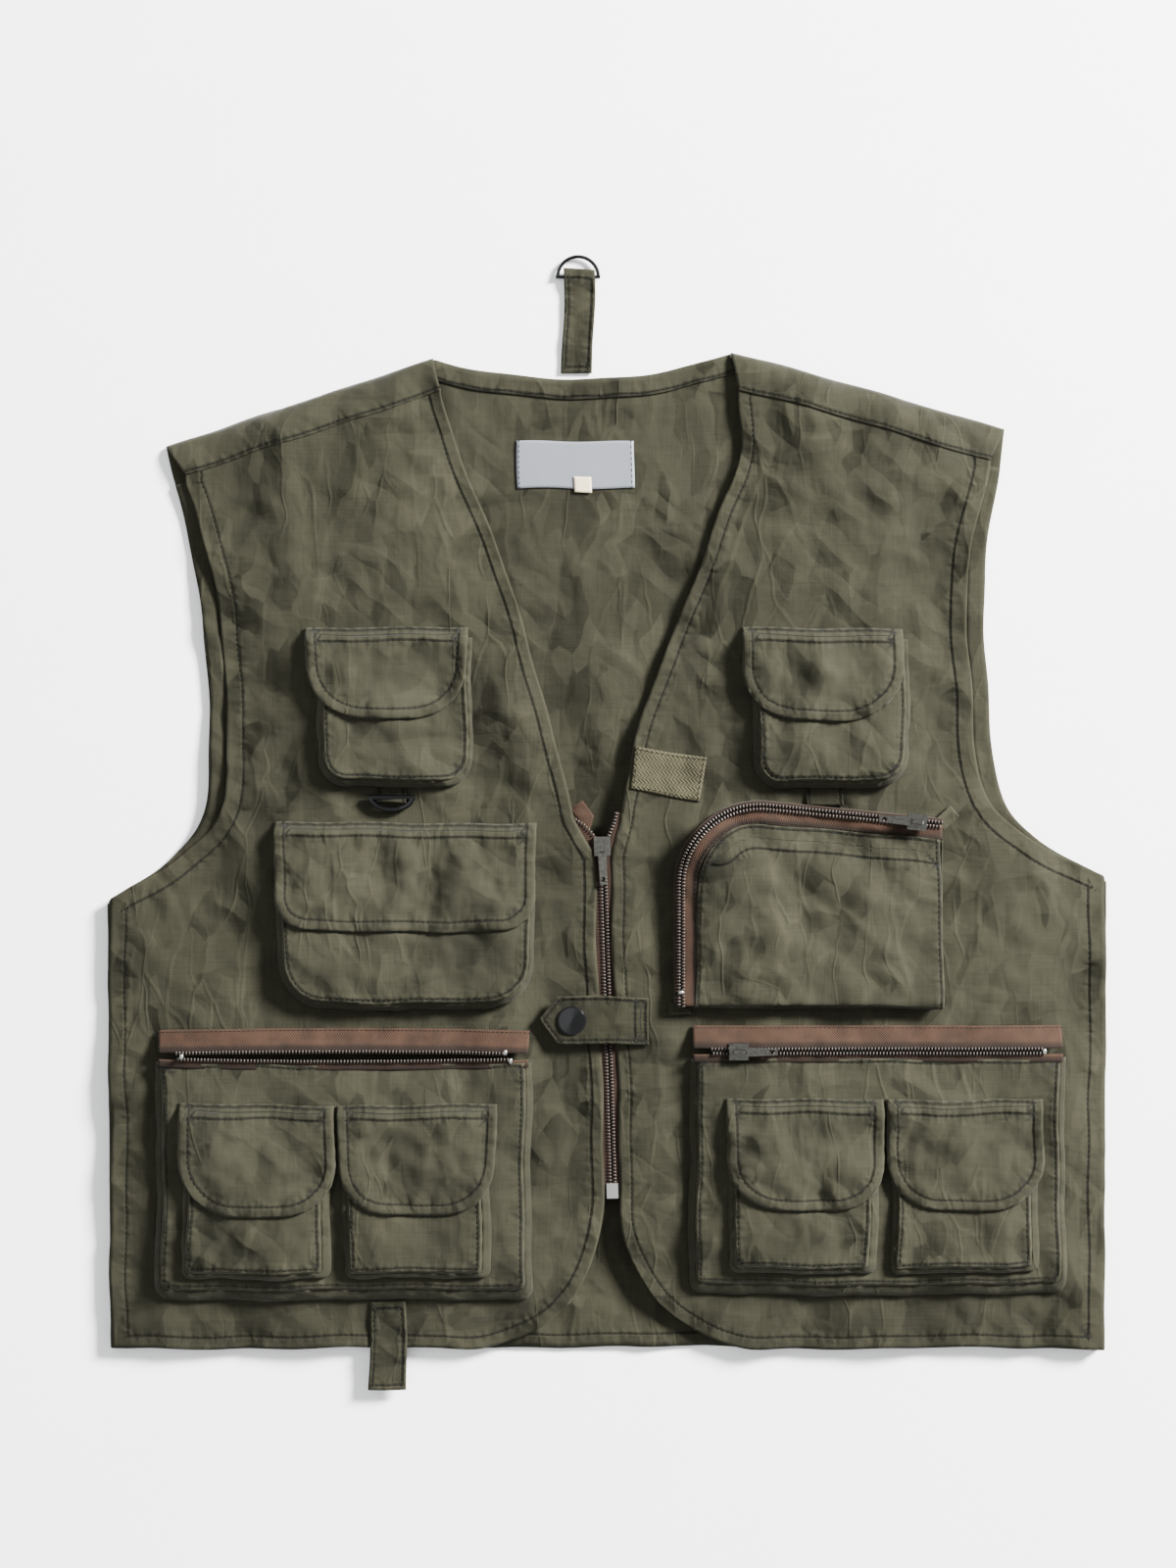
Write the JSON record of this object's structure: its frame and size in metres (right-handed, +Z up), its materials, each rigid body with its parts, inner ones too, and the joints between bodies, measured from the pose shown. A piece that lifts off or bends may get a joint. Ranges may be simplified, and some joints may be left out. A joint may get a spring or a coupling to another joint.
{
  "type": "fishing vest",
  "caption": "Sleeveless cotton fishing vest with flap and zip pockets, front zip, waist strap and ring loops, laid flat on its back.",
  "frame": {"origin": "underside of the back panel, on the centre line of the body at the level of the armholes' lower ends", "axes": "+Z up from the surface the vest lies on, out of its front; +Y towards the collar; +X towards the wearer's left"},
  "size_m": [0.575, 0.6557, 0.0304],
  "materials": {
    "shell_cloth": "matte plain-weave cotton",
    "zip_tape": "matte woven tape with nylon coil",
    "loop_tape": "matte loop pile",
    "black_metal": "gloss black enamel",
    "gunmetal": "dark plated, satin",
    "label_satin": "satin",
    "size_satin": "satin"
  },
  "bodies": {
    "back": {"back_panel": "shell_cloth", "back_neck_facing": "shell_cloth", "shoulder_yoke_right": "shell_cloth", "shoulder_yoke_left": "shell_cloth", "side_seam_right": "shell_cloth", "side_seam_left": "shell_cloth", "armhole_facing_right": "shell_cloth", "armhole_facing_left": "shell_cloth", "neck_label": "label_satin", "size_label": "size_satin"},
    "front_left": {"front_panel_left": "shell_cloth", "front_facing_left": "shell_cloth", "main_zip_left": "zip_tape", "main_zip_box": "gunmetal", "chest_pocket_left": "shell_cloth", "chest_loop_left": "shell_cloth", "chest_patch": "loop_tape", "zip_pocket_gusset": "shell_cloth", "zip_pocket_face": "shell_cloth", "zip_pocket_zip": "zip_tape", "cargo_gusset_left": "shell_cloth", "cargo_face_left": "shell_cloth", "cargo_zip_left": "zip_tape", "small_pocket_left_outer": "shell_cloth", "small_pocket_left_inner": "shell_cloth"},
    "front_right": {"front_panel_right": "shell_cloth", "front_facing_right": "shell_cloth", "main_zip_right": "zip_tape", "chest_pocket_right": "shell_cloth", "chest_loop_right": "shell_cloth", "utility_pocket": "shell_cloth", "cargo_gusset_right": "shell_cloth", "cargo_face_right": "shell_cloth", "cargo_zip_right": "zip_tape", "small_pocket_right_outer": "shell_cloth", "small_pocket_right_inner": "shell_cloth", "snap_stud": "black_metal"},
    "waist_strap": {"waist_strap": "shell_cloth", "snap_cap": "black_metal", "snap_socket": "black_metal"},
    "neck_tab": {"neck_tab": "shell_cloth"},
    "neck_ring": {"neck_ring": "black_metal"},
    "chest_ring": {"chest_ring": "black_metal"},
    "hem_tab": {"hem_tab": "shell_cloth"},
    "main_slider": {"main_zip_slider": "gunmetal"},
    "main_pull": {"main_zip_pull": "gunmetal"},
    "cargo_slider": {"cargo_slider": "gunmetal"},
    "cargo_pull": {"cargo_pull": "gunmetal"},
    "pocket_slider": {"zip_pocket_slider": "gunmetal"},
    "pocket_pull": {"zip_pocket_pull": "gunmetal"},
    "chest_flap_right": {"chest_flap_right": "shell_cloth"},
    "chest_flap_left": {"chest_flap_left": "shell_cloth"},
    "utility_flap": {"utility_flap": "shell_cloth"},
    "small_flap_right_outer": {"small_flap_right_outer": "shell_cloth"},
    "small_flap_right_inner": {"small_flap_right_inner": "shell_cloth"},
    "small_flap_left_outer": {"small_flap_left_outer": "shell_cloth"},
    "small_flap_left_inner": {"small_flap_left_inner": "shell_cloth"}
  },
  "joints": [
    {"name": "front_left_hinge", "type": "hinge", "parent": "back", "child": "front_left", "pos_m": [0.2866, -0.12, 0.011], "axis": [0, 1, 0], "range_deg": [0, 20]},
    {"name": "front_right_hinge", "type": "hinge", "parent": "back", "child": "front_right", "pos_m": [-0.2869, -0.12, 0.011], "axis": [0, 1, 0], "range_deg": [-20, 0], "deforming": ["main_zip_right"]},
    {"name": "chest_flap_right_hinge", "type": "hinge", "parent": "front_right", "child": "chest_flap_right", "pos_m": [-0.1265, 0.155, 0.0125], "axis": [-1, 0, 0], "range_deg": [0, 85]},
    {"name": "chest_flap_left_hinge", "type": "hinge", "parent": "front_left", "child": "chest_flap_left", "pos_m": [0.123, 0.155, 0.0125], "axis": [-1, 0, 0], "range_deg": [0, 85]},
    {"name": "utility_flap_hinge", "type": "hinge", "parent": "front_right", "child": "utility_flap", "pos_m": [-0.116, 0.043, 0.0125], "axis": [-1, 0, 0], "range_deg": [0, 85]},
    {"name": "small_flap_right_outer_hinge", "type": "hinge", "parent": "front_right", "child": "small_flap_right_outer", "pos_m": [-0.2005, -0.118, 0.0218], "axis": [-1, 0, 0], "range_deg": [0, 85]},
    {"name": "small_flap_right_inner_hinge", "type": "hinge", "parent": "front_right", "child": "small_flap_right_inner", "pos_m": [-0.1085, -0.118, 0.0218], "axis": [-1, 0, 0], "range_deg": [0, 85]},
    {"name": "small_flap_left_outer_hinge", "type": "hinge", "parent": "front_left", "child": "small_flap_left_outer", "pos_m": [0.2047, -0.115, 0.0218], "axis": [-1, 0, 0], "range_deg": [0, 85]},
    {"name": "small_flap_left_inner_hinge", "type": "hinge", "parent": "front_left", "child": "small_flap_left_inner", "pos_m": [0.1127, -0.115, 0.0218], "axis": [-1, 0, 0], "range_deg": [0, 85]},
    {"name": "waist_strap_hinge", "type": "hinge", "parent": "front_left", "child": "waist_strap", "pos_m": [0.024, -0.07, 0.0125], "axis": [0, 1, 0], "range_deg": [0, 100]},
    {"name": "neck_tab_hinge", "type": "hinge", "parent": "back", "child": "neck_tab", "pos_m": [-0.017, 0.30133, 0], "axis": [1, 0, 0], "range_deg": [0, 90]},
    {"name": "neck_ring_hinge", "type": "hinge", "parent": "neck_tab", "child": "neck_ring", "pos_m": [-0.017, 0.35842, 0.0022], "axis": [1, 0, 0], "range_deg": [0, 150]},
    {"name": "chest_ring_hinge", "type": "hinge", "parent": "front_right", "child": "chest_ring", "pos_m": [-0.124, 0.0577, 0.015], "axis": [-1, 0, 0], "range_deg": [0, 110]},
    {"name": "hem_tab_hinge", "type": "hinge", "parent": "front_right", "child": "hem_tab", "pos_m": [-0.126, -0.2325, 0.0123], "axis": [-1, 0, 0], "range_deg": [0, 90]},
    {"name": "main_zip_slide", "type": "slide", "parent": "front_left", "child": "main_slider", "axis": [-0.0297, 0.9996, 0], "range_m": [-0.187, 0.016]},
    {"name": "main_pull_hinge", "type": "hinge", "parent": "main_slider", "child": "main_pull", "pos_m": [-0.00301, 0.02971, 0.01405], "axis": [-0.9996, -0.0297, 0], "range_deg": [0, 150]},
    {"name": "cargo_zip_slide", "type": "slide", "parent": "front_left", "child": "cargo_slider", "axis": [1, 0, 0], "range_m": [-0.008, 0.168]},
    {"name": "cargo_pull_hinge", "type": "hinge", "parent": "cargo_slider", "child": "cargo_pull", "pos_m": [0.075, -0.0875, 0.02445], "axis": [0, -1, 0], "range_deg": [0, 150]},
    {"name": "pocket_zip_slide", "type": "slide", "parent": "front_left", "child": "pocket_slider", "axis": [0.9954, -0.0958, 0], "range_m": [-0.079, 0]},
    {"name": "pocket_pull_hinge", "type": "hinge", "parent": "pocket_slider", "child": "pocket_pull", "pos_m": [0.1765, 0.04389, 0.02875], "axis": [0.0958, 0.9954, 0], "range_deg": [0, 150]}
  ],
  "couplings": [
    {"joint": "front_right_hinge", "follows": "front_left_hinge", "ratio": -1}
  ]
}
